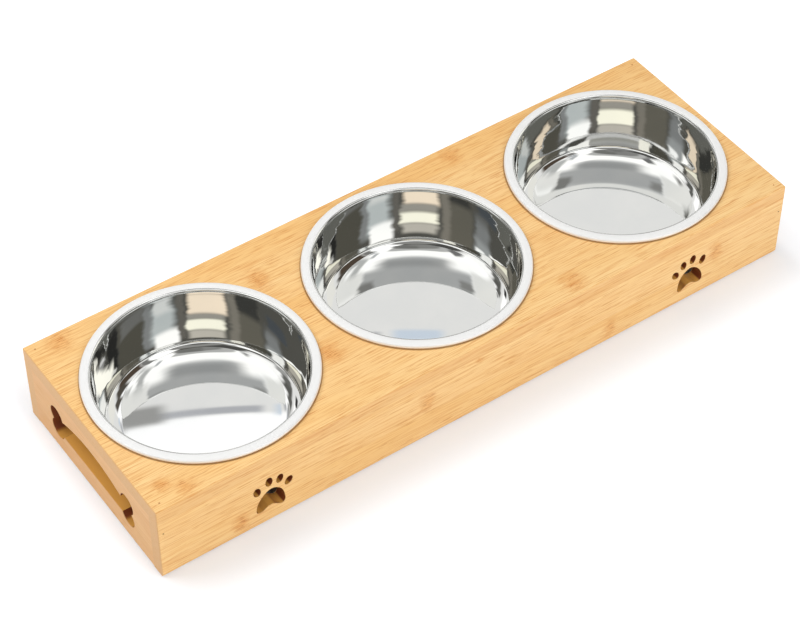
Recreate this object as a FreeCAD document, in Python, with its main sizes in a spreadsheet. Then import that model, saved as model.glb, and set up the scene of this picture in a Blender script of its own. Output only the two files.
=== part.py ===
"""Low bamboo stand with three lift-out steel bowls, for feeding a dog.

Millimetres. +Z is up, +X runs along the stand, and the paw cut-outs face -Y.
The origin is on the floor, under the middle of the stand.
"""
import FreeCAD
import Part
import Sketcher
import math
import os

# Driving sizes, in millimetres
SIZES = {
    # Bowl, pressed from sheet, with a rolled rim that rests on the stand
    "rim_diameter": 147.3,
    "rim_width": 7.15,
    "rim_height": 3.0,
    "bowl_depth": 43.5,
    "wall_taper": 3.9,
    "base_corner_radius": 13.7,
    "steel_thickness": 0.7,
    # Stand: the panel on top, long boards in front and behind, and end boards between them
    "rim_gap": 13.2,
    "rim_margin": 5.85,
    "timber_height": 59.0,
    "panel_thickness": 11.0,
    "long_board_thickness": 9.5,
    "end_board_thickness": 12.0,
    "hole_clearance": 1.5,
    "arris_radius": 1.0,
    # Paw cut-outs in the front board, one under each outer bowl
    "paw_width": 27.8,
    "paw_base_height": 9.8,
    "paw_top_margin": 9.2,
    # Bone-shaped hand holes in the end boards
    "bone_length": 99.4,
    "knuckle_radius": 7.4,
    "knuckle_spacing": 11.6,
    "bone_base_height": 11.4,
    "shaft_base_height": 16.8,
    "shaft_arch_radius": 93.6,
    # Pin nails, driven a little below the surface
    "pin_diameter": 1.2,
    "pin_length": 20.0,
    "pin_sink": 0.4,
    "side_pin_drop": 21.0,
    # Foot pads
    "foot_height": 1.0,
    "foot_margin": 0.75,
    "foot_inset": 15.0,
    # How far a drilled hole's cutter starts outside the wood
    "overrun": 2.0,
}

# Shares of the sizes that they follow
BEAD_ROUND_SHARE = 0.46
MOUTH_ROUND_SHARE = 0.28
FOOT_ROUND_SHARE = 0.4
TOP_PIN_SHARE = 0.6
SIDE_PIN_SHARE = 0.3
# A paw's toes: centre and half sizes as shares of its width and height, then the lean in degrees
TOE_SHARES = (
    (-0.416, 0.714, 0.094, 0.133, 10),
    (-0.108, 0.864, 0.092, 0.136, 0),
    (0.165, 0.810, 0.090, 0.129, -12),
    (0.385, 0.614, 0.095, 0.126, -30),
)
# A paw's heel pad: points round its outline, from the notch, as shares of the paw's width and height
HEEL_SHARES = (
    (-0.083, 0.133),
    (0.029, 0.090),
    (0.112, 0.033),
    (0.201, 0.000),
    (0.266, 0.048),
    (0.281, 0.179),
    (0.259, 0.321),
    (0.205, 0.455),
    (0.101, 0.569),
    (-0.065, 0.631),
    (-0.223, 0.566),
    (-0.338, 0.455),
    (-0.417, 0.324),
    (-0.459, 0.169),
    (-0.439, 0.062),
    (-0.367, 0.033),
    (-0.223, 0.086),
)

# How close two places are when they count as the same
NEAR = 0.001
UPRIGHT = FreeCAD.Vector(0, 0, 1)

doc = FreeCAD.newDocument("DogBowlStand")
sheet = doc.addObject("Spreadsheet::Sheet", "Sizes")
for row, (alias, size) in enumerate(SIZES.items(), start=1):
    sheet.set(f"A{row}", alias)
    sheet.set(f"B{row}", str(size))
    sheet.setAlias(f"B{row}", alias)
doc.recompute()

# Sizes that follow from the driving ones. A bowl's levels count from the panel that it hangs in.
RIM_RADIUS = "(Sizes.rim_diameter / 2)"
BEAD_RADIUS = f"({RIM_RADIUS} - Sizes.rim_height)"
MOUTH_RADIUS = f"({RIM_RADIUS} - Sizes.rim_width)"
BASE_RADIUS = f"({MOUTH_RADIUS} - Sizes.wall_taper)"
FLOOR_LEVEL = "(Sizes.rim_height - Sizes.bowl_depth)"
BASE_LEVEL = f"({FLOOR_LEVEL} - Sizes.steel_thickness)"
BOWL_PITCH = "(Sizes.rim_diameter + Sizes.rim_gap)"
STAND_LENGTH = f"(2 * {BOWL_PITCH} + Sizes.rim_diameter + 2 * Sizes.rim_margin)"
STAND_DEPTH = "(Sizes.rim_diameter + 2 * Sizes.rim_margin)"
INNER_DEPTH = f"({STAND_DEPTH} - 2 * Sizes.long_board_thickness)"
BOARD_HEIGHT = "(Sizes.timber_height - Sizes.panel_thickness)"
PAW_HEIGHT = f"({BOARD_HEIGHT} - Sizes.paw_base_height - Sizes.paw_top_margin)"
PANEL_LEVEL = f"(Sizes.foot_height + {BOARD_HEIGHT})"
TOP_LEVEL = "(Sizes.foot_height + Sizes.timber_height)"
HOLE_RADIUS = f"({MOUTH_RADIUS} + Sizes.steel_thickness + Sizes.hole_clearance)"


def value(expression):
    """The number that an expression gives with the sizes as they stand."""
    return float(sheet.evalExpression(expression))


def bind(item, **expressions):
    """Ties properties to the sizes. A double underscore stands for the dot in a property's path."""
    for path, expression in expressions.items():
        item.setExpression(path.replace("__", "."), expression)


# Sketches

def new_body(name, x="0", y="0", z="0", turn=0):
    """An empty body at its place in the stand, turned about its own upright axis."""
    body = doc.addObject("PartDesign::Body", name)
    body.Label = name
    body.Placement.Rotation = FreeCAD.Rotation(UPRIGHT, turn)
    bind(body, Placement__Base__x=x, Placement__Base__y=y, Placement__Base__z=z)
    return body


def new_sketch(body, name, plane):
    """An empty sketch on one of the body's own origin planes."""
    sketch = body.newObject("Sketcher::SketchObject", f"{body.Name}_{name}")
    support = next(item for item in body.Origin.OriginFeatures if item.Role == plane)
    sketch.AttachmentSupport = [(support, "")]
    sketch.MapMode = "FlatFace"
    return sketch


def tie(sketch, kind, *geometry, to):
    """Adds a dimension to a sketch, tied to the sizes."""
    index = sketch.addConstraint(Sketcher.Constraint(kind, *geometry, value(to)))
    sketch.setExpression(f"Constraints[{index}]", to)


def tie_point(sketch, edge, point, x, y):
    """Ties an edge's start (1), end (2) or centre (3) to its distances from the sketch's origin."""
    tie(sketch, "DistanceX", -1, 1, edge, point, to=x)
    tie(sketch, "DistanceY", -1, 1, edge, point, to=y)


def draw_polygon(sketch, corners):
    """A closed outline with straight sides, its corners given as pairs of expressions."""
    points = [FreeCAD.Vector(value(x), value(y), 0) for x, y in corners]
    following = [(index + 1) % len(points) for index in range(len(points))]
    for index, after in enumerate(following):
        sketch.addGeometry(Part.LineSegment(points[index], points[after]))
    for index, after in enumerate(following):
        sketch.addConstraint(Sketcher.Constraint("Coincident", index, 2, after, 1))
        tie_point(sketch, index, 1, *corners[index])


def draw_rectangle(sketch, left, right, low, high):
    """An upright rectangle, its sides given as expressions."""
    draw_polygon(sketch, [(left, low), (right, low), (right, high), (left, high)])


def draw_circle(sketch, x, y, radius):
    """A circle, its centre and radius given as expressions."""
    centre = FreeCAD.Vector(value(x), value(y), 0)
    index = sketch.addGeometry(Part.Circle(centre, UPRIGHT, value(radius)))
    tie_point(sketch, index, 3, x, y)
    tie(sketch, "Radius", index, to=radius)


# Features

def add_feature(kind, sketch):
    """A new feature of a body that follows a sketch."""
    body = sketch.getParentGeoFeatureGroup()
    feature = body.newObject(f"PartDesign::{kind}", f"{sketch.Name}_{kind.lower()}")
    feature.Profile = sketch
    return feature


def pad(sketch, length, reverse=False):
    feature = add_feature("Pad", sketch)
    feature.Reversed = reverse
    bind(feature, Length=length)
    doc.recompute()


def pocket(sketch, length, reverse=False):
    """Cuts a sketch into its body, and makes sure that wood was there to cut."""
    body = sketch.getParentGeoFeatureGroup()
    before = body.Shape.Volume
    feature = add_feature("Pocket", sketch)
    feature.Reversed = reverse
    bind(feature, Length=length)
    doc.recompute()
    if body.Shape.Volume > before - NEAR:
        raise RuntimeError(f"{feature.Name} cuts nothing")


def revolve(sketch):
    """Turns a sketch right round the body's upright axis."""
    feature = add_feature("Revolution", sketch)
    feature.ReferenceAxis = (sketch, ["V_Axis"])
    feature.Angle = 360
    doc.recompute()


def round_edges(body, radius, wanted):
    """Rounds the edges of a body that the test picks."""
    base = body.Tip
    names = [f"Edge{index}" for index, edge in enumerate(base.Shape.Edges, start=1) if wanted(edge)]
    if not names:
        raise RuntimeError(f"{body.Name} has no such edge")
    feature = body.newObject("PartDesign::Fillet", f"{body.Name}_round")
    feature.Base = (base, names)
    bind(feature, Radius=radius)
    doc.recompute()


def ring(radius, level):
    """A test that picks the round edge of that radius at that level."""
    wanted_radius = value(radius)
    wanted_level = value(level)

    def test(edge):
        if not isinstance(edge.Curve, Part.Circle):
            return False
        near_radius = abs(edge.Curve.Radius - wanted_radius) < NEAR
        return near_radius and abs(edge.Curve.Center.z - wanted_level) < NEAR

    return test


# Stand

def make_top_panel():
    """The board that the bowls hang in. Its arrises are rounded, except round the underside."""
    body = new_body("top_panel_blank", z=PANEL_LEVEL)
    outline = new_sketch(body, "outline", "XY_Plane")
    half_length = f"{STAND_LENGTH} / 2"
    half_depth = f"{STAND_DEPTH} / 2"
    draw_rectangle(outline, f"-{half_length}", half_length, f"-{half_depth}", half_depth)
    pad(outline, "Sizes.panel_thickness")
    round_edges(body, "Sizes.arris_radius", lambda edge: edge.BoundBox.ZMax > NEAR)
    holes = new_sketch(body, "bowl_holes", "XY_Plane")
    for side in (-1, 0, 1):
        draw_circle(holes, f"{side} * {BOWL_PITCH}", "0", HOLE_RADIUS)
    pocket(holes, "Sizes.panel_thickness", reverse=True)
    return body


def make_long_board(name, side, turn):
    """A front or back board, standing on its outer face's lower edge."""
    body = new_body(name, y=f"{side} * {STAND_DEPTH} / 2", z="Sizes.foot_height", turn=turn)
    outline = new_sketch(body, "outline", "XZ_Plane")
    half_length = f"{STAND_LENGTH} / 2"
    draw_rectangle(outline, f"-{half_length}", half_length, "0", BOARD_HEIGHT)
    pad(outline, "Sizes.long_board_thickness", reverse=True)
    top = value(BOARD_HEIGHT)

    def on_show(edge):
        return edge.BoundBox.YMax < NEAR and edge.BoundBox.ZMin < top - NEAR

    round_edges(body, "Sizes.arris_radius", on_show)
    return body


def draw_paw(sketch, centre_x, mirror):
    """Four toes and a heel pad. The mirror is 1, or -1 for the paw that points the other way."""
    width = value("Sizes.paw_width")
    height = value(PAW_HEIGHT)
    base = value("Sizes.paw_base_height")

    def place(x_share, y_share):
        return FreeCAD.Vector(centre_x + mirror * x_share * width, base + y_share * height, 0)

    for x_share, y_share, half_width_share, half_height_share, lean in TOE_SHARES:
        centre = place(x_share, y_share)
        angle = math.radians(mirror * lean)
        along = FreeCAD.Vector(-math.sin(angle), math.cos(angle), 0)
        across = FreeCAD.Vector(math.cos(angle), math.sin(angle), 0)
        tip = centre + along * half_height_share * height
        flank = centre + across * half_width_share * width
        sketch.addGeometry(Part.Ellipse(tip, flank, centre))
    heel = Part.BSplineCurve()
    heel.interpolate([place(*share) for share in HEEL_SHARES], PeriodicFlag=True)
    sketch.addGeometry(heel)


def make_front_board():
    body = make_long_board("front_board_blank", -1, 0)
    paws = new_sketch(body, "paws", "XZ_Plane")
    draw_paw(paws, -value(BOWL_PITCH), 1)
    draw_paw(paws, value(BOWL_PITCH), -1)
    pocket(paws, "Sizes.long_board_thickness")
    return body


def make_back_board():
    return make_long_board("back_board_blank", 1, 180)


def cut_bone(body):
    """The hand hole: two pairs of knuckles, and a shaft that is arched above for the fingers."""
    reach = "(Sizes.bone_length / 2 - Sizes.knuckle_radius)"
    low_knuckles = "(Sizes.bone_base_height + Sizes.knuckle_radius)"
    high_knuckles = f"({low_knuckles} + Sizes.knuckle_spacing)"
    for name, level in (("low_knuckles", low_knuckles), ("high_knuckles", high_knuckles)):
        knuckles = new_sketch(body, name, "YZ_Plane")
        for side in (-1, 1):
            draw_circle(knuckles, f"{side} * {reach}", level, "Sizes.knuckle_radius")
        pocket(knuckles, "Sizes.end_board_thickness", reverse=True)
    crown = f"({high_knuckles} + Sizes.knuckle_radius)"
    arch_centre = f"({crown} - Sizes.shaft_arch_radius)"
    spring = f"({arch_centre} + sqrt(Sizes.shaft_arch_radius ^ 2 - {reach} ^ 2))"
    shaft = new_sketch(body, "shaft", "YZ_Plane")
    base = "Sizes.shaft_base_height"
    corners = [(f"-{reach}", spring), (f"-{reach}", base), (reach, base), (reach, spring)]
    points = [FreeCAD.Vector(value(x), value(y), 0) for x, y in corners]
    for start, end in zip(points, points[1:]):
        shaft.addGeometry(Part.LineSegment(start, end))
    arch = shaft.addGeometry(Part.Arc(points[-1], FreeCAD.Vector(0, value(crown), 0), points[0]))
    for index in range(len(points) - 1):
        tie_point(shaft, index, 1, *corners[index])
    shaft.addConstraint(Sketcher.Constraint("Coincident", 0, 2, 1, 1))
    shaft.addConstraint(Sketcher.Constraint("Coincident", 1, 2, 2, 1))
    shaft.addConstraint(Sketcher.Constraint("Coincident", 2, 2, arch, 1))
    shaft.addConstraint(Sketcher.Constraint("Coincident", arch, 2, 0, 1))
    tie_point(shaft, arch, 3, "0", arch_centre)
    pocket(shaft, "Sizes.end_board_thickness", reverse=True)


def make_end_board(name, side, turn):
    """An end board, flush between the long boards, with its hand hole."""
    body = new_body(name, x=f"{side} * {STAND_LENGTH} / 2", z="Sizes.foot_height", turn=turn)
    outline = new_sketch(body, "outline", "YZ_Plane")
    draw_rectangle(outline, f"-{INNER_DEPTH} / 2", f"{INNER_DEPTH} / 2", "0", BOARD_HEIGHT)
    pad(outline, "Sizes.end_board_thickness")

    def on_show(edge):
        return edge.BoundBox.XMax < NEAR and edge.BoundBox.ZMax < NEAR

    round_edges(body, "Sizes.arris_radius", on_show)
    cut_bone(body)
    return body


# Bowls

def make_bowl(name, side):
    """A bowl, turned from its section: floor, wall, flange, and a bead that rests on the panel."""
    body = new_body(name, x=f"{side} * {BOWL_PITCH}", z=TOP_LEVEL)
    section = new_sketch(body, "section", "XZ_Plane")
    flange_level = "(Sizes.rim_height - Sizes.steel_thickness)"
    outer_mouth = f"({MOUTH_RADIUS} + Sizes.steel_thickness)"
    outer_base = f"({BASE_RADIUS} + Sizes.steel_thickness)"
    draw_polygon(section, [
        ("0", FLOOR_LEVEL),
        (BASE_RADIUS, FLOOR_LEVEL),
        (MOUTH_RADIUS, "Sizes.rim_height"),
        (RIM_RADIUS, "Sizes.rim_height"),
        (RIM_RADIUS, "0"),
        (BEAD_RADIUS, "0"),
        (BEAD_RADIUS, flange_level),
        (outer_mouth, flange_level),
        (outer_base, BASE_LEVEL),
        ("0", BASE_LEVEL),
    ])
    revolve(section)
    mouth_round = f"({MOUTH_ROUND_SHARE} * Sizes.rim_width)"
    bead_round = f"{BEAD_ROUND_SHARE} * Sizes.rim_height"
    round_edges(body, f"{mouth_round} - Sizes.steel_thickness", ring(outer_mouth, flange_level))
    round_edges(body, mouth_round, ring(MOUTH_RADIUS, "Sizes.rim_height"))
    round_edges(body, "Sizes.base_corner_radius", ring(BASE_RADIUS, FLOOR_LEVEL))
    outer_corner = "Sizes.base_corner_radius + Sizes.steel_thickness"
    round_edges(body, outer_corner, ring(outer_base, BASE_LEVEL))
    round_edges(body, bead_round, ring(RIM_RADIUS, "Sizes.rim_height"))
    round_edges(body, bead_round, ring(RIM_RADIUS, "0"))
    round_edges(body, bead_round, ring(BEAD_RADIUS, "0"))
    return body


# Feet and fasteners

def make_foot(name, side_x, side_y):
    """A thin pad stuck under a long board, near its end, with its lower edge rounded."""
    x = f"{side_x} * ({STAND_LENGTH} / 2 - Sizes.foot_inset)"
    y = f"{side_y} * ({STAND_DEPTH} - Sizes.long_board_thickness) / 2"
    body = new_body(name, x=x, y=y)
    outline = new_sketch(body, "outline", "XY_Plane")
    radius = "(Sizes.long_board_thickness / 2 - Sizes.foot_margin)"
    draw_circle(outline, "0", "0", radius)
    pad(outline, "Sizes.foot_height")
    round_edges(body, f"{FOOT_ROUND_SHARE} * Sizes.foot_height", ring(radius, "0"))
    return body


def rod(name, x, y, z, length, turn=0):
    """A round bar as thick as a pin, upright, or turned about X to lie along +Y."""
    item = doc.addObject("Part::Cylinder", name)
    item.Placement.Rotation = FreeCAD.Rotation(FreeCAD.Vector(1, 0, 0), turn)
    bind(item, Radius="Sizes.pin_diameter / 2", Height=length)
    bind(item, Placement__Base__x=x, Placement__Base__y=y, Placement__Base__z=z)
    return item


def group(name, items):
    compound = doc.addObject("Part::Compound", name)
    compound.Label = name
    compound.Links = items
    return compound


def make_pins():
    """The nodes of pins, and all the holes that they are driven in."""
    pins = {"top_pins": [], "front_pins": [], "back_pins": []}
    holes = []
    driven = "(Sizes.pin_length + Sizes.pin_sink)"
    drilled = f"({driven} + Sizes.overrun)"
    side_level = f"({TOP_LEVEL} - Sizes.side_pin_drop)"
    for side_x in (-1, 1):
        top_x = f"{side_x} * ({STAND_LENGTH} - Sizes.end_board_thickness) / 2"
        side_x_place = f"{side_x} * ({STAND_LENGTH} / 2 - {SIDE_PIN_SHARE} * Sizes.end_board_thickness)"
        for side_y in (-1, 1):
            top_y = f"{side_y} * ({STAND_DEPTH} / 2 - {TOP_PIN_SHARE} * Sizes.long_board_thickness)"
            tip_level = f"{TOP_LEVEL} - {driven}"
            pins["top_pins"].append(rod("top_pin", top_x, top_y, tip_level, "Sizes.pin_length"))
            holes.append(rod("top_pin_hole", top_x, top_y, tip_level, drilled))
        head_y = f"Sizes.pin_sink - {STAND_DEPTH} / 2"
        mouth_y = f"-{STAND_DEPTH} / 2 - Sizes.overrun"
        tip_y = f"{STAND_DEPTH} / 2 - {driven}"
        length = "Sizes.pin_length"
        pins["front_pins"].append(rod("front_pin", side_x_place, head_y, side_level, length, -90))
        pins["back_pins"].append(rod("back_pin", side_x_place, tip_y, side_level, length, -90))
        holes.append(rod("front_pin_hole", side_x_place, mouth_y, side_level, drilled, -90))
        holes.append(rod("back_pin_hole", side_x_place, tip_y, side_level, drilled, -90))
    return [group(name, items) for name, items in pins.items()], group("pin_holes", holes)


def drill(board, name, holes):
    """The finished board: its blank with the pin holes drilled through the joints."""
    item = doc.addObject("Part::Cut", name)
    item.Label = name
    item.Base = board
    item.Tool = holes
    return item


def make_parts():
    pins, holes = make_pins()
    boards = {
        "top_panel": make_top_panel(),
        "front_board": make_front_board(),
        "back_board": make_back_board(),
        "left_end_board": make_end_board("left_end_blank", -1, 0),
        "right_end_board": make_end_board("right_end_blank", 1, 180),
    }
    parts = [drill(board, name, holes) for name, board in boards.items()]
    for name, side in (("left_bowl", -1), ("middle_bowl", 0), ("right_bowl", 1)):
        parts.append(make_bowl(name, side))
    for name, side_x, side_y in (
        ("front_left_foot", -1, -1),
        ("front_right_foot", 1, -1),
        ("back_left_foot", -1, 1),
        ("back_right_foot", 1, 1),
    ):
        parts.append(make_foot(name, side_x, side_y))
    return parts + pins


parts = make_parts()
doc.recompute()

for item in doc.Objects:
    if "Invalid" in item.State or "Error" in item.State:
        raise RuntimeError(f"{item.Name} failed: {item.State}")
for item in parts:
    if item.Shape.isNull() or not item.Shape.isValid() or not item.Shape.Solids:
        raise RuntimeError(f"{item.Label} is not a sound solid")

os.makedirs("parts", exist_ok=True)
for item in parts:
    item.Shape.exportStep(f"parts/{item.Label}.step")
    print(item.Label, len(item.Shape.Solids), "solids", round(item.Shape.Volume), "mm3")
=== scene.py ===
import math

import bpy
from mathutils import Matrix, Vector


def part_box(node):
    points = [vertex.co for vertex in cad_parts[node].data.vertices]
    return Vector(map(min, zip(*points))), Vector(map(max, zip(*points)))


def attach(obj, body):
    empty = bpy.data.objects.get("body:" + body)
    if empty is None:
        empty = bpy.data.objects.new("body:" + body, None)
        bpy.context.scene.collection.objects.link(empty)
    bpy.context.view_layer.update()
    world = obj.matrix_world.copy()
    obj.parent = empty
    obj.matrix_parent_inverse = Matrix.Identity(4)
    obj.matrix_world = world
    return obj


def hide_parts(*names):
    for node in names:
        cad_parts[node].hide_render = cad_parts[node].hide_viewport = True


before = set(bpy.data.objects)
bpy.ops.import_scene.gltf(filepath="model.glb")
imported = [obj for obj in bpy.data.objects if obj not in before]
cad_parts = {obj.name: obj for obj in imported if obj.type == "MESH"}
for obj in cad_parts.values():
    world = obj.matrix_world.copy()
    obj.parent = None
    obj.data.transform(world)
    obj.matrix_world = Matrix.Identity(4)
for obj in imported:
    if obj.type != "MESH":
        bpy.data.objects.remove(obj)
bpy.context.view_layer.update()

MM = 0.001

# Places that the CAD frame gives
_, PANEL_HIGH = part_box("top_panel")
FRONT_LOW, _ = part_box("front_board")
HALF_LENGTH = PANEL_HIGH.x
HALF_DEPTH = PANEL_HIGH.y
TOP = PANEL_HIGH.z
BOTTOM = FRONT_LOW.z

# Where the cut-outs are, so that their walls are browned by the cutter and darkened with painted shade: the
# paws' distance from the middle, half the span of a paw and of a hand hole, and how far the browning stays
# from a board's faces and edges
PAW_PLACE = 162.4 * MM
PAW_REACH = 17.0 * MM
HAND_HOLE_REACH = 52.0 * MM
CUT_FACE = 0.35 * MM
CUT_EDGE = 6.0 * MM

# Bowl sizes. The rim's radius and the levels come from the frame.
BOWLS = ("left_bowl", "middle_bowl", "right_bowl")
RIM_WIDTH = 7.15 * MM
RIM_HEIGHT = 3.0 * MM
STEEL = 0.7 * MM
MOUTH_ROUND = 2.0 * MM
BEAD_ROUND = 1.35 * MM
RIM_CROWN = 0.12 * MM

# The wall leans in more and more towards its foot, and turns over a small corner into a shallow edge. The
# floor inside that edge is crowned a little.
WALL_LEANS = [math.radians(lean) for lean in (3.0, 7.0, 13.5)]
CORNER_ROUND = 2.5 * MM
EDGE_RISE = math.radians(21.0)
EDGE_WIDTH = 9.5 * MM
FLOOR_CROWN = math.radians(1.6)

# How finely a bowl is divided: round its axis, and along each stretch of its section
BOWL_SEGMENTS = 288
MOUTH_STEPS = 8
WALL_STEPS = 14
CORNER_STEPS = 20
EDGE_STEPS = 24
FLOOR_STEPS = 14
CROWN_STEPS = 10
BEAD_STEPS = 8

# The photograph's camera, found from the stand's corners. The picture is 800 by 623 pixels, and the sensor's
# width is in Blender's own millimetres.
PICTURE_WIDTH = 800
FOCAL_PIXELS = 2384.04
SENSOR = 36.0
CLIP_NEAR = 0.05
CLIP_FAR = 50.0
CAMERA_AZIMUTH = math.radians(-34.9693)
CAMERA_ELEVATION = math.radians(46.2744)
CAMERA_ROLL = math.radians(0.0524)
CAMERA_DISTANCE = 1553.5 * MM
CAMERA_RIGHT = 10.56 * MM
CAMERA_UP = -10.94 * MM


class Graph:
    """A node tree, with short calls that add nodes and link them."""

    def __init__(self, tree):
        self.tree = tree
        tree.nodes.clear()

    def add(self, kind, inputs=(), **settings):
        node = self.tree.nodes.new(f"ShaderNode{kind}")
        for name, setting in settings.items():
            setattr(node, name, setting)
        for socket, given in dict(inputs).items():
            self.put(node.inputs[socket], given)
        return node

    def put(self, socket, given):
        """Links the socket if it is given another node's output, and otherwise sets its value."""
        if isinstance(given, bpy.types.NodeSocket):
            self.tree.links.new(given, socket)
        else:
            socket.default_value = given

    def math(self, operation, *given):
        return self.add("Math", enumerate(given), operation=operation).outputs[0]

    def clamped(self, operation, *given):
        return self.add("Math", enumerate(given), operation=operation, use_clamp=True).outputs[0]

    def vector(self, operation, *given):
        node = self.add("VectorMath", enumerate(given), operation=operation)
        return node.outputs["Value" if operation in ("LENGTH", "DOT_PRODUCT") else "Vector"]

    def ramp(self, given, start, end, low=0.0, high=1.0):
        """A smooth step from low at start to high at end."""
        names = ("Value", "From Min", "From Max", "To Min", "To Max")
        inputs = zip(names, (given, start, end, low, high))
        return self.add("MapRange", inputs, interpolation_type="SMOOTHSTEP").outputs[0]

    def noise(self, place, stretch, detail, roughness=0.5):
        """A smooth noise, which changes about as often in a metre along each axis as the stretch says."""
        names = ("Vector", "Scale", "Detail", "Roughness")
        stretched = self.vector("MULTIPLY", place, stretch)
        return self.add("TexNoise", zip(names, (stretched, 1.0, detail, roughness))).outputs[0]

    def mix(self, share, first, second):
        """Mixes two colours."""
        inputs = ((0, share), (6, first), (7, second))
        return self.add("Mix", inputs, data_type="RGBA").outputs[2]

    def split(self, place):
        return self.add("SeparateXYZ", ((0, place),)).outputs

    def join(self, x, y, z):
        return self.add("CombineXYZ", ((0, x), (1, y), (2, z))).outputs[0]


def srgb(red, green, blue):
    """A colour's screen values of 0 to 255 as Blender's linear colour, by the sRGB standard's formula."""
    shares = [level / 255 for level in (red, green, blue)]
    linear = [share / 12.92 if share <= 0.04045 else ((share + 0.055) / 1.055) ** 2.4 for share in shares]
    return (*linear, 1.0)


def new_material(name):
    material = bpy.data.materials.new(name)
    material.use_nodes = True
    return material, Graph(material.node_tree)


def finish_material(graph, shader):
    graph.add("OutputMaterial", (("Surface", shader),))


# Bamboo

# The strips that a board is glued up from, and how far along the grain the figure of one may be shifted
STRIP_WIDTH = 20.0 * MM
STRIP_SHIFT = 5.0

# How far below the stand's top a seam between two strips lies on the upright boards
SEAM_DROP = 17 * MM

# Tones, as screen values. The long faces and the end boards each have two that lie in clouds, two for single
# strips and two for fibres, and a strength with which the fibres show.
GOLDEN = {
    "clouds": ((252, 212, 148), (247, 200, 130)),
    "strips": ((253, 214, 156), (242, 188, 116)),
    "fibres": ((222, 152, 76), (206, 128, 54)),
    "strength": 1.0,
}
TAN = {
    "clouds": ((241, 193, 133), (231, 178, 119)),
    "strips": ((238, 189, 136), (227, 176, 119)),
    "fibres": ((216, 158, 98), (202, 138, 78)),
    "strength": 0.5,
}
KNOT_TONE = (230, 158, 82)
FLECK_TONE = (196, 118, 50)
END_GRAIN_TONE = (222, 174, 120)
# Cut walls: browned by the cutter, and darkened further with painted shade where the recess lies in shadow
SCORCHED_AND_SHADED_ALONG_GRAIN = (222, 162, 72)
SCORCHED_AND_SHADED_ACROSS_GRAIN = (124, 44, 6)
# A painted shadow of the bowls' rims on the panel, where they rest
RIM_PAINTED_SHADOW_TONE = (118, 74, 34)

# The joints in each board's cane: how far the centre of one lies from the stand's left end, and from the
# panel's back edge or below the stand's top, then its half sizes along and across the grain, in millimetres
PANEL_KNOTS = (
    (21, 8, 10, 12),
    (14, 142, 7, 8),
    (25, 151, 8, 8),
    (150, 33, 9, 14),
    (153, 112, 9, 11),
    (317, 9, 9, 10),
    (312, 148, 10, 11),
    (470, 80, 8, 12),
)
FRONT_KNOTS = (
    (56, 48, 6, 11),
    (337, 48, 6, 11),
    (192, 27, 6, 11),
    (423, 27, 6, 11),
    (233, 13, 5, 4),
)
BACK_KNOTS = (
    (70, 28, 6, 11),
    (300, 27, 6, 11),
    (180, 48, 6, 11),
    (405, 47, 6, 11),
)

# How far the joints waver along the grain, and a distance in their half sizes that is past them all
KNOT_WAVER = 14.0 * MM
PAST_KNOTS = 9.0

# The depth of the fibres' relief, and how far from its middle a rim's painted shadow starts to fade and ends
GRAIN_RELIEF = 0.1 * MM
RIM_SHADOW_CORE = 0.3 * MM
RIM_SHADOW_REACH = 1.0 * MM


def place_knots(knots, edge):
    """A board's joints, with their centres as places in the stand's frame. The edge's level is in metres."""
    return [(from_end - HALF_LENGTH / MM, edge / MM - from_edge, half_along, half_over)
            for from_end, from_edge, half_along, half_over in knots]


def add_knots(graph, color, place, along, over, knots):
    """The cane's joints: soft smudges with darker flecks in them."""
    wobble = graph.noise(place, (120.0, 420.0, 420.0), 2.0)
    bend = graph.math("MULTIPLY", graph.math("SUBTRACT", wobble, 0.5), KNOT_WAVER)
    flat = graph.join(graph.math("ADD", along, bend), over, 0.0)
    nearest = PAST_KNOTS
    for centre_along, centre_over, half_along, half_over in knots:
        stretch = (1 / (half_along * MM), 1 / (half_over * MM), 0.0)
        centre = (centre_along / half_along, centre_over / half_over, 0.0)
        offset = graph.vector("SUBTRACT", graph.vector("MULTIPLY", flat, stretch), centre)
        nearest = graph.math("MINIMUM", graph.vector("LENGTH", offset), nearest)
    smudge = graph.ramp(nearest, 0.1, 1.2, 1.0, 0.0)
    color = graph.mix(graph.math("MULTIPLY", smudge, 0.45), color, srgb(*KNOT_TONE))
    flecks = graph.noise(place, (150.0, 1500.0, 1500.0), 2.0, 0.7)
    fleck_share = graph.math("MULTIPLY", smudge, graph.ramp(flecks, 0.49, 0.62, 0.0, 0.75))
    return graph.mix(fleck_share, color, srgb(*FLECK_TONE))


def add_cut_walls(graph, color, axes, end_grain, cuts):
    """The walls of cut-outs, browned by the cutter and darkened with painted shade, and darkest where it
    crossed the grain.
    """
    # Painted shade: the cut-outs' walls are made darker than the wood, as well as browned by the cutter
    scorched_and_shaded = graph.mix(end_grain, srgb(*SCORCHED_AND_SHADED_ALONG_GRAIN), srgb(*SCORCHED_AND_SHADED_ACROSS_GRAIN))
    for low, high in cuts:
        inside = 1.0
        for axis in range(3):
            inside = graph.math("MULTIPLY", graph.math("GREATER_THAN", axes[axis], low[axis]), inside)
            inside = graph.math("MULTIPLY", graph.math("LESS_THAN", axes[axis], high[axis]), inside)
        color = graph.mix(graph.math("MULTIPLY", inside, 0.9), color, scorched_and_shaded)
    return color


def add_painted_rim_shadows(graph, color, axes, rims):
    """Thin painted shadows on the wood where the bowls' rims rest."""
    flat_place = graph.join(axes[0], axes[1], 0.0)
    for centre_x, centre_y, radius in rims:
        reach = graph.vector("LENGTH", graph.vector("SUBTRACT", flat_place, (centre_x, centre_y, 0.0)))
        from_ring = graph.math("ABSOLUTE", graph.math("SUBTRACT", reach, radius))
        # Painted shadow: a thin dark ring on the wood along each rim's edge
        stain_and_shade = graph.ramp(from_ring, RIM_SHADOW_CORE, RIM_SHADOW_REACH, 0.65, 0.0)
        color = graph.mix(stain_and_shade, color, srgb(*RIM_PAINTED_SHADOW_TONE))
    return color


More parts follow.
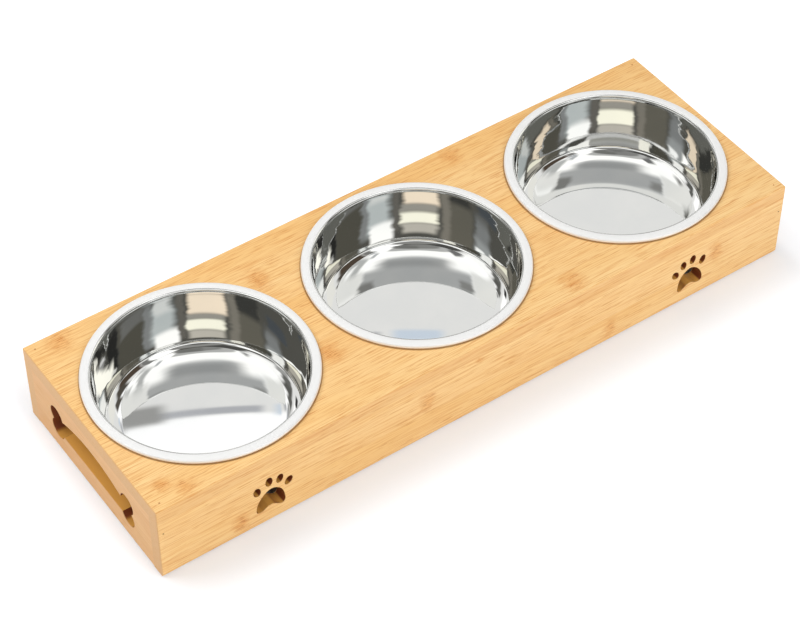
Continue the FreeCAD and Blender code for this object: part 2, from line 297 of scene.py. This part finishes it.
def bamboo(name, grain, across, seam, seed, tones, knots=(), cuts=(), rims=()):
    """Laminated bamboo: strips with a tone each, fine fibres along them, and the cane's joints across them.

    It takes the axis of the grain, the axis that the strips follow one another on, the level of a seam
    between two strips, and the board's own number for its random tones. The joints are centres and half
    sizes along and across the grain, in millimetres, the cut-outs are boxes, and the rims are centres and
    radii.
    """
    pale, golden = [srgb(*tint) for tint in tones["clouds"]]
    pale_strip, dark_strip = [srgb(*tint) for tint in tones["strips"]]
    line_tint, dash_tint = [srgb(*tint) for tint in tones["fibres"]]
    strength = tones["strength"]
    material, graph = new_material(name)
    place = graph.add("TexCoord").outputs["Object"]
    axes = graph.split(place)
    along = axes[grain]
    over = axes[across]
    depth = axes[3 - grain - across]

    # Strips
    lane = graph.math("DIVIDE", graph.math("SUBTRACT", over, seam), STRIP_WIDTH)
    number = graph.math("FLOOR", lane)
    tone_place = graph.join(number, seed, 0.0)
    chance = graph.add("TexWhiteNoise", (("Vector", tone_place),), noise_dimensions="3D")
    tone = chance.outputs["Value"]
    tone_parts = graph.split(chance.outputs["Color"])
    shift = graph.math("MULTIPLY", tone, STRIP_SHIFT)
    moved = graph.join(graph.math("ADD", along, shift), over, depth)
    within = graph.math("FRACT", lane)
    from_seam = graph.math("SUBTRACT", 0.5, graph.math("ABSOLUTE", graph.math("SUBTRACT", within, 0.5)))
    seam_line = graph.ramp(from_seam, 0.004, 0.018, 1.0, 0.0)

    # Fibres and the clouds that they lie in, from the finest to the broadest
    def streaks(lengthwise, crosswise, detail, roughness=0.5):
        return graph.noise(moved, (lengthwise, crosswise, crosswise), detail, roughness)

    fine = streaks(34.0, 1500.0, 1.0)
    dashes = streaks(52.0, 1000.0, 2.0, 0.6)
    broad = streaks(5.0, 300.0, 2.0)
    cloud = streaks(5.0, 34.0, 3.0)

    color = graph.mix(graph.ramp(cloud, 0.3, 0.7), pale, golden)
    color = graph.mix(graph.ramp(broad, 0.4, 0.7, 0.0, 0.2 * strength), color, dark_strip)
    color = graph.mix(graph.ramp(tone, 0.0, 1.0, 0.0, 0.3), color, pale_strip)
    color = graph.mix(graph.ramp(tone_parts[1], 0.4, 1.0, 0.0, 0.3), color, dark_strip)
    color = graph.mix(graph.ramp(fine, 0.46, 0.66, 0.0, 0.5 * strength), color, line_tint)
    color = graph.mix(graph.ramp(dashes, 0.57, 0.68, 0.0, 0.55 * strength), color, dash_tint)
    color = graph.mix(graph.math("MULTIPLY", seam_line, 0.2 * strength), color, dash_tint)

    if knots:
        color = add_knots(graph, color, place, along, over, knots)

    # Ends of the grain are duller
    normal = graph.split(graph.add("TexCoord").outputs["Normal"])
    end_grain = graph.ramp(graph.math("ABSOLUTE", normal[grain]), 0.3, 0.7)
    color = graph.mix(graph.math("MULTIPLY", end_grain, 0.85), color, srgb(*END_GRAIN_TONE))
    if cuts:
        color = add_cut_walls(graph, color, axes, end_grain, cuts)
    if rims:
        color = add_painted_rim_shadows(graph, color, axes, rims)

    height = graph.math("ADD", graph.math("MULTIPLY", fine, 0.6), graph.math("MULTIPLY", dashes, -0.9))
    bump = graph.add("Bump", (("Strength", 0.22), ("Distance", GRAIN_RELIEF), ("Height", height)))
    shine = graph.add("BsdfPrincipled", (
        ("Base Color", color),
        ("Roughness", graph.ramp(dashes, 0.3, 0.8, 0.44, 0.6)),
        ("Normal", bump.outputs[0]),
    ))
    shine.inputs["Specular IOR Level"].default_value = 0.35
    finish_material(graph, shine.outputs[0])
    return material


# Steel

# Where the rim's satin starts and is full, outwards from the mouth, and where the wall's waves start and are
# full, upwards from the floor
SATIN_START = 0.9 * MM
SATIN_FULL = 2.2 * MM
WAVES_START = 6 * MM
WAVES_FULL = 14 * MM

# A face is an outside one if it looks away from the bowl's axis, or down. This is how much looking down
# counts.
OUTSIDE_DROP = 20 * MM

# Linear colours: the two of the polish, the rim's and the outside's. Then how far the rings and the dents
# turn the surface.
POLISH_TONES = ((0.83, 0.83, 0.82, 1), (0.80, 0.805, 0.80, 1))
RIM_TONE = (0.95, 0.95, 0.945, 1)
OUTSIDE_TONE = (0.58, 0.58, 0.57, 1)
RING_SWING = 0.10
DENT_SWING = 0.06


def polished_steel(rim_radius, depth):
    """Mirror-polished inside, with the faint waves of its wall, satin on the rim, and duller outside."""
    material, graph = new_material("bowl_steel")
    place = graph.add("TexCoord").outputs["Object"]
    x, y, z = graph.split(place)
    radius = graph.math("SQRT", graph.math("ADD", graph.math("MULTIPLY", x, x), graph.math("MULTIPLY", y, y)))
    mouth = rim_radius - RIM_WIDTH
    rim = graph.ramp(radius, mouth + SATIN_START, mouth + SATIN_FULL)
    wall = graph.ramp(z, WAVES_START - depth, WAVES_FULL - depth)

    smudges = graph.noise(place, (40.0, 40.0, 40.0), 3.0)
    color = graph.mix(graph.ramp(smudges, 0.3, 0.7), *POLISH_TONES)
    color = graph.mix(rim, color, RIM_TONE)
    polished = graph.ramp(smudges, 0.3, 0.75, 0.012, 0.03)
    roughness = graph.math("ADD", polished, graph.math("MULTIPLY", rim, 0.38))
    metallic = graph.math("SUBTRACT", 1.0, graph.math("MULTIPLY", rim, 0.65))

    # Outside, below the rim
    normal = graph.add("NewGeometry").outputs["Normal"]
    outward = graph.vector("DOT_PRODUCT", normal, graph.join(x, y, -OUTSIDE_DROP))
    below_rim = graph.math("LESS_THAN", z, 0.0)
    outside = graph.math("MULTIPLY", graph.math("GREATER_THAN", outward, 0.0), below_rim)
    color = graph.mix(outside, color, OUTSIDE_TONE)
    roughness = graph.math("ADD", roughness, graph.math("MULTIPLY", outside, 0.18))

    # The waves turn the surface a little sideways: narrow rings that the lathe left, and upright dents
    sideways = graph.vector("CROSS_PRODUCT", (0.0, 0.0, 1.0), normal)
    rings = graph.noise(place, (26.0, 26.0, 200.0), 2.0)
    dents = graph.noise(place, (120.0, 120.0, 22.0), 1.0)
    ring_swing = graph.math("MULTIPLY", graph.math("SUBTRACT", rings, 0.5), RING_SWING)
    dent_swing = graph.math("MULTIPLY", graph.math("SUBTRACT", dents, 0.5), DENT_SWING)
    swing = graph.math("MULTIPLY", graph.math("ADD", ring_swing, dent_swing), wall)
    turned = graph.add("VectorMath", (("Vector", sideways), ("Scale", swing)), operation="SCALE").outputs[0]
    waved = graph.vector("NORMALIZE", graph.vector("ADD", normal, turned))
    shine = graph.add("BsdfPrincipled", (
        ("Base Color", color),
        ("Metallic", metallic),
        ("Roughness", roughness),
        ("Normal", waved),
    ))
    finish_material(graph, shine.outputs[0])
    return material


# Pin nails and foot pads, with tones as screen values: light and dark. The nails in the top are filled.
FILLED_PIN_TONES = ((212, 166, 110), (192, 144, 90))
BARE_PIN_TONES = ((96, 74, 52), (60, 44, 30))
PAD_TONES = ((216, 214, 208), (232, 231, 226))
PAD_RELIEF = 0.03 * MM


def pin_heads(name, tones, metallic):
    """The sunk heads of the pin nails, a little stained."""
    material, graph = new_material(name)
    place = graph.add("TexCoord").outputs["Object"]
    stain_and_shade = graph.noise(place, (1500.0, 1500.0, 1500.0), 2.0)
    color = graph.mix(graph.ramp(stain_and_shade, 0.35, 0.65), *[srgb(*tint) for tint in tones])
    shine = graph.add("BsdfPrincipled", (("Base Color", color), ("Metallic", metallic), ("Roughness", 0.55)))
    finish_material(graph, shine.outputs[0])
    return material


def pale_rubber():
    """The foot pads: matt, with a fine moulded grain."""
    material, graph = new_material("foot_pad")
    place = graph.add("TexCoord").outputs["Object"]
    grain = graph.noise(place, (2500.0, 2500.0, 2500.0), 3.0)
    color = graph.mix(grain, *[srgb(*tint) for tint in PAD_TONES])
    bump = graph.add("Bump", (("Strength", 0.3), ("Distance", PAD_RELIEF), ("Height", grain)))
    shine = graph.add("BsdfPrincipled", (
        ("Base Color", color),
        ("Roughness", 0.8),
        ("Normal", bump.outputs[0]),
    ))
    finish_material(graph, shine.outputs[0])
    return material


# Bowls

def turn_along(points, point, tilt, end_tilt, length, steps):
    """Follows a profile that turns steadily from one tilt to another, and returns its end.

    A tilt of 0 runs straight down, and a quarter turn runs straight in towards the axis.
    """
    radius, level = point
    step = length / steps
    for index in range(steps):
        middle = tilt + (end_tilt - tilt) * (index + 0.5) / steps
        radius -= math.sin(middle) * step
        level -= math.cos(middle) * step
        points.append((radius, level))
    return radius, level


def drop_along(tilt, end_tilt, length):
    """How far down a profile gets over a length in which it turns steadily from one tilt to another."""
    return length * (math.sin(end_tilt) - math.sin(tilt)) / (end_tilt - tilt)


def bowl_profile(rim_radius, depth):
    """The section of a bowl's sheet, from the middle of its floor up, over the rim, and back below the floor.

    Radius and height, with the height 0 where the rim rests.
    """
    quarter = math.pi / 2
    top_lean, middle_lean, foot_lean = WALL_LEANS
    corner_end = quarter - EDGE_RISE
    mouth = (quarter, top_lean, MOUTH_ROUND * (quarter - top_lean), MOUTH_STEPS)
    corner = (foot_lean, corner_end, CORNER_ROUND * (corner_end - foot_lean), CORNER_STEPS)
    edge = (corner_end, quarter, EDGE_WIDTH, EDGE_STEPS)
    half_wall = (depth - sum(drop_along(*stretch[:3]) for stretch in (mouth, corner, edge))) / 2
    upper_wall = (top_lean, middle_lean, half_wall / drop_along(top_lean, middle_lean, 1.0), WALL_STEPS)
    lower_wall = (middle_lean, foot_lean, half_wall / drop_along(middle_lean, foot_lean, 1.0), WALL_STEPS)

    # Inside: from the mouth down to the floor's middle
    rim_level = RIM_HEIGHT - RIM_CROWN
    start = (rim_radius - RIM_WIDTH + MOUTH_ROUND * math.cos(top_lean), rim_level)
    inner = [start]
    point = start
    for stretch in (mouth, upper_wall, lower_wall, corner, edge):
        point = turn_along(inner, point, *stretch)
    floor_radius, floor_level = point
    for index in range(1, FLOOR_STEPS + 1):
        share = index / FLOOR_STEPS
        crown = FLOOR_CROWN * floor_radius * share * (1 - share / 2)
        inner.append((floor_radius * (1 - share), floor_level + crown))

    # Outside: the same, a sheet's thickness further out
    outer = []
    for before, here, after in zip(inner, inner[1:], inner[2:]):
        run = Vector((after[0] - before[0], after[1] - before[1])).normalized()
        outer.append((here[0] - run.y * STEEL, here[1] + run.x * STEEL))
    outer.append((0.0, inner[-1][1] - STEEL))

    # Rim: over its crown, round the bead's upper quarter and its lower half, and back under the crown
    rim = []
    bead = Vector((rim_radius - BEAD_ROUND, rim_level - BEAD_ROUND))
    for index in range(1, CROWN_STEPS):
        share = index / CROWN_STEPS
        radius = start[0] + (bead.x - start[0]) * share
        rim.append((radius, rim_level + RIM_CROWN * 4 * share * (1 - share)))
    for index in range(BEAD_STEPS + 1):
        angle = quarter * (1 - index / BEAD_STEPS)
        rim.append((bead.x + BEAD_ROUND * math.cos(angle), bead.y + BEAD_ROUND * math.sin(angle)))
    for index in range(2 * BEAD_STEPS + 1):
        angle = -quarter * index / BEAD_STEPS
        rim.append((bead.x + BEAD_ROUND * math.cos(angle), BEAD_ROUND + BEAD_ROUND * math.sin(angle)))
    under_level = RIM_HEIGHT - STEEL - RIM_CROWN
    rim.append((bead.x - BEAD_ROUND, under_level))
    rim.append((outer[0][0] + STEEL, under_level))
    return inner[::-1] + rim + outer


def lathe(name, profile, segments):
    """A mesh turned about the upright axis from a profile that starts and ends on it."""
    rings = profile[1:-1]
    verts = [(0.0, 0.0, profile[0][1])]
    for radius, level in rings:
        for index in range(segments):
            angle = 2 * math.pi * index / segments
            verts.append((radius * math.cos(angle), radius * math.sin(angle), level))
    verts.append((0.0, 0.0, profile[-1][1]))
    last = len(verts) - 1
    faces = []
    for index in range(segments):
        after = (index + 1) % segments
        faces.append((0, 1 + index, 1 + after))
        for ring in range(len(rings) - 1):
            here = 1 + ring * segments
            there = here + segments
            faces.append((here + index, there + index, there + after, here + after))
        tail = 1 + (len(rings) - 1) * segments
        faces.append((last, tail + after, tail + index))
    mesh = bpy.data.meshes.new(name)
    mesh.from_pydata(verts, [], faces)
    mesh.validate()
    mesh.shade_smooth()
    return mesh


def make_bowl(node, material):
    """A finely turned bowl that stands for the CAD one, at its place."""
    low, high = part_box(node)
    rim_radius = min(high.x - low.x, high.y - low.y) / 2
    seat = high.z - RIM_HEIGHT
    depth = seat + RIM_HEIGHT - RIM_CROWN - low.z - STEEL
    mesh = lathe(f"{node}_turned", bowl_profile(rim_radius, depth), BOWL_SEGMENTS)
    mesh.materials.append(material)
    bowl = bpy.data.objects.new(f"{node}_turned", mesh)
    bpy.context.scene.collection.objects.link(bowl)
    bowl.location = ((low.x + high.x) / 2, (low.y + high.y) / 2, seat)
    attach(bowl, node)
    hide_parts(node)


# Finishes

def finish_node(node, material):
    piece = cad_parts[node]
    piece.data.materials.clear()
    piece.data.materials.append(material)


def cut_box(node, axis, middle, reach):
    """The box of a cut-out that goes right through a board, short of the board's faces and edges.

    Along one axis it goes only as far from its middle as the reach.
    """
    low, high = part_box(node)
    low, high = Vector(low), Vector(high)
    thin = min(range(3), key=lambda index: high[index] - low[index])
    for index in range(3):
        margin = CUT_FACE if index == thin else CUT_EDGE
        low[index] += margin
        high[index] -= margin
    low[axis] = middle - reach
    high[axis] = middle + reach
    return low, high


def dress_stand():
    """The boards', pads' and pins' finishes."""
    x_axis, y_axis, z_axis = range(3)
    seam = TOP - SEAM_DROP
    panel_knots = place_knots(PANEL_KNOTS, HALF_DEPTH)
    front_knots = place_knots(FRONT_KNOTS, TOP)
    back_knots = place_knots(BACK_KNOTS, TOP)
    paws = [cut_box("front_board", x_axis, place, PAW_REACH) for place in (-PAW_PLACE, PAW_PLACE)]
    bowl_boxes = [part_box(node) for node in BOWLS]
    rims = [((low.x + high.x) / 2, (low.y + high.y) / 2, (high.x - low.x) / 2) for low, high in bowl_boxes]
    boards = {
        "top_panel": bamboo("bamboo_panel", x_axis, y_axis, -HALF_DEPTH, 1.0, GOLDEN, panel_knots, rims=rims),
        "front_board": bamboo("bamboo_front", x_axis, z_axis, seam, 2.0, GOLDEN, front_knots, paws),
        "back_board": bamboo("bamboo_back", x_axis, z_axis, seam, 3.0, GOLDEN, back_knots),
    }
    for number, node in enumerate(("left_end_board", "right_end_board")):
        hand_hole = [cut_box(node, y_axis, 0.0, HAND_HOLE_REACH)]
        boards[node] = bamboo(f"bamboo_{node}", y_axis, z_axis, seam, 4.0 + number, TAN, cuts=hand_hole)
    for node, material in boards.items():
        finish_node(node, material)
    rubber = pale_rubber()
    for side_y in ("front", "back"):
        for side_x in ("left", "right"):
            finish_node(f"{side_y}_{side_x}_foot", rubber)
    finish_node("top_pins", pin_heads("filled_pins", FILLED_PIN_TONES, 0.0))
    bare = pin_heads("bare_pins", BARE_PIN_TONES, 0.6)
    for node in ("front_pins", "back_pins"):
        finish_node(node, bare)


# Studio

def make_camera():
    """The camera at the photograph's place, from its direction, distance and small sideways offsets."""
    azimuth, elevation, roll = CAMERA_AZIMUTH, CAMERA_ELEVATION, CAMERA_ROLL
    back = Vector((
        math.sin(azimuth) * math.cos(elevation),
        -math.cos(azimuth) * math.cos(elevation),
        math.sin(elevation),
    ))
    level_right = Vector((0, 0, 1)).cross(back).normalized()
    level_up = back.cross(level_right)
    right = level_right * math.cos(roll) + level_up * math.sin(roll)
    up = level_up * math.cos(roll) - level_right * math.sin(roll)
    place = back * CAMERA_DISTANCE - right * CAMERA_RIGHT - up * CAMERA_UP + Vector((0, 0, BOTTOM))
    data = bpy.data.cameras.new("camera")
    data.sensor_fit = "HORIZONTAL"
    data.sensor_width = SENSOR
    data.lens = FOCAL_PIXELS * SENSOR / PICTURE_WIDTH
    data.clip_start = CLIP_NEAR
    data.clip_end = CLIP_FAR
    camera = bpy.data.objects.new("camera", data)
    bpy.context.scene.collection.objects.link(camera)
    turn = Matrix((right, up, back)).transposed().to_4x4()
    camera.matrix_world = Matrix.Translation(place) @ turn
    bpy.context.scene.camera = camera


# What polished steel sees round it: windows, soft boxes and the gaps between them, each over the ones before.
# Each has a middle, as degrees round from the photograph's camera (towards the picture's right) and above the
# horizon, then half sizes and softness in the same two directions, and a colour.
WINDOWS = (
    # A white ceiling over the front, grey towards the horizon and dark overhead
    (0, 62, 108, 13.5, 8, 3, (1.50, 1.50, 1.48)),
    (2, 55.5, 50, 6.3, 36, 4, (0.54, 0.55, 0.55)),
    (0, 52.5, 78, 3.2, 14, 3, (0.54, 0.55, 0.55)),
    (8, 57.5, 40, 1.8, 30, 2.5, (0.42, 0.43, 0.43)),
    (-67, 51.5, 9, 1.2, 10, 1.5, (0.32, 0.32, 0.31)),
    (66, 50.8, 13, 1.6, 10, 1.5, (0.27, 0.27, 0.26)),
    (-100, 53, 22, 4, 8, 3, (1.08, 1.08, 1.05)),
    (100, 53.5, 24, 3.5, 8, 3, (1.08, 1.08, 1.05)),
    (0, 48.6, 112, 0.9, 6, 0.6, (1.05, 1.05, 1.02)),
    (92, 62, 7, 6, 8, 5, (0.62, 0.63, 0.62)),
    (81, 70, 4, 2.5, 4, 3, (0.60, 0.62, 0.64)),
    (0, 77.5, 110, 2.5, 30, 2.5, (0.62, 0.62, 0.61)),
    (0, 84, 180, 4.5, 1, 3, (0.30, 0.30, 0.29)),
    (30, 81.5, 36, 2.5, 20, 2.5, (0.22, 0.22, 0.21)),
    (-83, 73, 10, 3, 8, 3, (0.22, 0.22, 0.22)),
    (75, 76.5, 9, 2.2, 8, 2, (1.50, 1.50, 1.48)),
    (0, 90, 200, 4, 1, 4, (0.10, 0.10, 0.095)),
    # A white sweep behind, with a grey seam
    (180, 50, 60, 24, 4, 6, (0.90, 0.90, 0.885)),
    (180, 52.4, 20, 3.8, 4, 0.4, (1.25, 1.25, 1.25)),
    (187, 48.3, 4.6, 0.26, 1, 0.2, (0.50, 0.51, 0.54)),
    (192.5, 48.1, 2.2, 0.7, 1.6, 0.5, (0.38, 0.38, 0.37)),
    (179.3, 48.35, 2.0, 0.42, 1.2, 0.3, (0.68, 0.77, 0.88)),
    # Its left end: white above and below a dark stand
    (219, 61, 14, 6.5, 6, 3, (1.20, 1.20, 1.18)),
    (232, 54, 7, 4, 5, 3, (0.40, 0.40, 0.39)),
    (204, 42.5, 10, 2.6, 4, 1.5, (1.30, 1.30, 1.28)),
    (216, 42.6, 4.5, 1.6, 3, 1, (0.05, 0.05, 0.05)),
    (201, 48.4, 5, 1.4, 3, 1.2, (0.14, 0.14, 0.13)),
    (213, 50.3, 9, 2.6, 5, 2, (0.12, 0.12, 0.11)),
    (222, 51.5, 6, 3, 4, 2.5, (0.16, 0.16, 0.15)),
    (222, 75, 22, 5, 12, 3, (0.08, 0.08, 0.075)),
    # Its right end: white above, then a brown wall, and pale below
    (136, 74, 21, 4.5, 6, 2, (1.40, 1.40, 1.38)),
    (140, 67.8, 20, 1.6, 8, 1.5, (0.22, 0.22, 0.21)),
    (148, 45, 16, 4, 6, 2, (0.95, 0.94, 0.88)),
    (136, 59.5, 15, 6.5, 5, 3, (0.085, 0.064, 0.047)),
    (155, 54.5, 9, 3.2, 5, 2.5, (0.09, 0.08, 0.065)),
    (166, 51, 7, 1.8, 4, 1.4, (0.10, 0.09, 0.075)),
    # Walls in front, below the ceiling
    (-5, 44.5, 60, 3.2, 8, 0.6, (0.20, 0.20, 0.18)),
    (-48, 30, 15, 9, 8, 3, (0.17, 0.16, 0.13)),
    (-46, 39, 16, 2.5, 8, 2, (0.06, 0.06, 0.055)),
    (-83, 38.2, 12, 1.3, 6, 1, (0.09, 0.10, 0.11)),
    (-76, 32, 9, 4, 8, 4, (0.28, 0.29, 0.29)),
    (-76, 26.5, 10, 3.6, 9, 3, (0.42, 0.44, 0.44)),
    (-73, 24.6, 6, 2.0, 5, 1.4, (1.30, 1.32, 1.30)),
    # Low windows in front, cream and pale blue, with gaps between them
    (-31, 31, 5, 10, 7, 3, (0.28, 0.26, 0.22)),
    (-5, 37.4, 18.5, 3.0, 7, 1.6, (1.30, 1.10, 0.86)),
    (-2, 33.5, 19, 1.0, 7, 1.2, (0.45, 0.43, 0.38)),
    (-2, 29.8, 19, 2.4, 6, 1.4, (1.42, 1.38, 1.15)),
    (-3, 25.2, 18, 2.1, 8, 1.8, (0.70, 0.66, 0.58)),
    (21.5, 33, 3.5, 8.5, 5, 3, (0.18, 0.17, 0.15)),
    (43, 33, 14, 6, 12, 4, (0.66, 0.71, 0.71)),
    (41, 38.8, 9.5, 2, 8, 2, (0.90, 0.92, 0.90)),
    (38, 25.6, 13, 4.4, 6, 3, (1.45, 1.45, 1.42)),
    (60, 34, 5, 7, 9, 4, (0.30, 0.31, 0.31)),
    (80, 31, 17, 10, 6, 3, (0.11, 0.105, 0.085)),
    (77, 39.5, 15, 1.5, 8, 1, (0.20, 0.20, 0.19)),
    # Low windows at the sides
    (107, 37, 9, 5, 5, 3, (0.03, 0.03, 0.028)),
    (105, 30.5, 3, 2.5, 3, 2, (0.80, 0.79, 0.75)),
    (118, 30.5, 11, 6, 5, 3, (1.45, 1.42, 1.28)),
    (-108, 26.8, 22, 1.8, 6, 1, (1.50, 1.50, 1.46)),
    (180, 27.8, 50, 1, 10, 1, (0.50, 0.50, 0.46)),
    # Near the horizon, which only other views show: a grey room with bright panels
    (0, 7, 180, 10, 1, 5, (0.36, 0.36, 0.35)),
    (58, 7, 20, 8, 12, 6, (1.10, 1.10, 1.08)),
    (-64, 7, 20, 8, 12, 6, (1.10, 1.10, 1.08)),
    (152, 7, 20, 8, 12, 6, (1.10, 1.10, 1.08)),
    (-158, 7, 16, 8, 12, 6, (1.10, 1.10, 1.08)),
    (-3, 7, 10, 8, 10, 6, (0.16, 0.16, 0.15)),
    (102, 7, 9, 8, 10, 6, (0.16, 0.16, 0.15)),
)

# What steel sees between the windows, the even light on everything else and its strength, and plain white
STUDIO_TONE = (0.11, 0.108, 0.096, 1.0)
EVEN_TONE = (1.0, 0.995, 0.985, 1)
EVEN_STRENGTH = 0.57
WHITE = (1.0, 1.0, 1.0, 1)


def make_world():
    """White behind the object, even light on it, and a studio with windows for metal to reflect."""
    world = bpy.data.worlds.new("studio")
    bpy.context.scene.world = world
    world.use_nodes = True
    graph = Graph(world.node_tree)
    direction = graph.add("TexCoord").outputs["Generated"]
    front = (math.sin(CAMERA_AZIMUTH), -math.cos(CAMERA_AZIMUTH), 0.0)
    side = (math.cos(CAMERA_AZIMUTH), math.sin(CAMERA_AZIMUTH), 0.0)
    toward = graph.vector("DOT_PRODUCT", direction, front)
    aside = graph.vector("DOT_PRODUCT", direction, side)
    degree = 180 / math.pi
    round_angle = graph.math("MULTIPLY", graph.math("ARCTAN2", aside, toward), degree)
    height = graph.math("MULTIPLY", graph.math("ARCSINE", graph.split(direction)[2]), degree)

    color = STUDIO_TONE
    for middle, level, half_width, half_height, side_softness, level_softness, tint in WINDOWS:
        off_side = graph.math("WRAP", graph.math("SUBTRACT", round_angle, float(middle)), 180.0, -180.0)
        off_level = graph.math("SUBTRACT", height, float(level))
        spans = ((off_side, half_width, side_softness), (off_level, half_height, level_softness))
        inside = 1.0
        for off, half, softness in spans:
            soft = softness / 2
            within = graph.ramp(graph.math("ABSOLUTE", off), half - soft, half + soft, 1.0, 0.0)
            inside = graph.math("MULTIPLY", within, inside)
        color = graph.mix(inside, color, (*tint, 1.0))

    light_path = graph.add("LightPath").outputs
    metal_sees = graph.add("Background", (("Color", color), ("Strength", 1.0)))
    even = graph.add("Background", (("Color", EVEN_TONE), ("Strength", EVEN_STRENGTH)))
    white = graph.add("Background", (("Color", WHITE), ("Strength", 1.0)))
    reflected = graph.add("MixShader", (
        (0, light_path["Is Glossy Ray"]),
        (1, even.outputs[0]),
        (2, metal_sees.outputs[0]),
    ))
    seen = graph.clamped("ADD", light_path["Is Camera Ray"], light_path["Is Transmission Ray"])
    shown = graph.add("MixShader", ((0, seen), (1, reflected.outputs[0]), (2, white.outputs[0])))
    graph.add("OutputWorld", (("Surface", shown.outputs[0]),))


# Half the floor's width, and its tones for the light that it passes on and where it is seen
FLOOR_HALF = 6.0
FLOOR_LIT_TONE = (0.82, 0.82, 0.82, 1)
FLOOR_SEEN_TONE = (0.70, 0.725, 0.77, 1)

# How much of the floor's white is its own, beside the stand and further off, and how far off that is. Past
# the stand's two ends there is some more, because the photograph's shadow lies only in front. The white goes
# in under the stand's edge by the tuck.
FLOOR_WHITE_NEAR = 0.265
FLOOR_WHITE_FAR = 0.62
FLOOR_FADE = 80 * MM
FLOOR_WHITE_ENDS = 0.13
FLOOR_END_FADE = 12 * MM
FLOOR_TUCK = 2 * MM


def make_floor():
    """A wide pale floor. Where it is seen, part of its white is its own, and the rest takes the shadow.

    Under the stand it has no white of its own, so that the hollow stays dark.
    """
    half = FLOOR_HALF
    corners = [(-half, -half, 0), (half, -half, 0), (half, half, 0), (-half, half, 0)]
    mesh = bpy.data.meshes.new("floor")
    mesh.from_pydata(corners, [], [(0, 1, 2, 3)])
    floor = bpy.data.objects.new("floor", mesh)
    bpy.context.scene.collection.objects.link(floor)
    material, graph = new_material("floor")
    light_path = graph.add("LightPath").outputs
    seen = graph.clamped("ADD", light_path["Is Camera Ray"], light_path["Is Glossy Ray"])
    seen = graph.clamped("ADD", seen, light_path["Is Transmission Ray"])
    x, y, _ = graph.split(graph.add("TexCoord").outputs["Object"])
    past_length = graph.math("SUBTRACT", graph.math("ABSOLUTE", x), HALF_LENGTH)
    past_depth = graph.math("SUBTRACT", graph.math("ABSOLUTE", y), HALF_DEPTH)
    past = graph.math("MAXIMUM", past_length, past_depth)
    outside = graph.math("GREATER_THAN", past, -FLOOR_TUCK)
    all_round = graph.ramp(past, 0.0, FLOOR_FADE, FLOOR_WHITE_NEAR, FLOOR_WHITE_FAR)
    at_ends = graph.ramp(past_length, 0.0, FLOOR_END_FADE, 0.0, FLOOR_WHITE_ENDS)
    own_white = graph.math("MULTIPLY", outside, graph.math("ADD", all_round, at_ends))
    lit = graph.add("BsdfDiffuse", (("Color", FLOOR_LIT_TONE),))
    shaded = graph.add("BsdfDiffuse", (("Color", FLOOR_SEEN_TONE),))
    own = graph.add("Emission", (("Color", WHITE), ("Strength", own_white)))
    shown = graph.add("AddShader", ((0, shaded.outputs[0]), (1, own.outputs[0])))
    mixed = graph.add("MixShader", ((0, seen), (1, lit.outputs[0]), (2, shown.outputs[0])))
    finish_material(graph, mixed.outputs[0])
    mesh.materials.append(material)


# The lamps' names, places, sizes in metres and powers in watts
LAMPS = (
    ("key", (-0.8, 0.6, 1.15), 0.8, 8.6),
    ("fill", (0.25, -1.5, 1.0), 1.4, 13.5),
)


def make_lamps():
    """Soft square lamps, turned towards the object, which metal doesn't reflect."""
    for name, place, size, power in LAMPS:
        place = Vector(place)
        data = bpy.data.lights.new(name, "AREA")
        data.size = size
        data.energy = power
        lamp = bpy.data.objects.new(name, data)
        bpy.context.scene.collection.objects.link(lamp)
        lamp.rotation_mode = "QUATERNION"
        lamp.location = place
        lamp.rotation_quaternion = (-place).to_track_quat("-Z", "Y")
        lamp.visible_glossy = False


# The whole scene

bpy.context.scene.view_settings.view_transform = "Standard"
make_camera()
make_world()
make_floor()
make_lamps()
dress_stand()
bowl_low, bowl_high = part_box("middle_bowl")
steel = polished_steel((bowl_high.x - bowl_low.x) / 2, bowl_high.z - bowl_low.z - RIM_HEIGHT)
for bowl_node in BOWLS:
    make_bowl(bowl_node, steel)

bpy.context.view_layer.update()
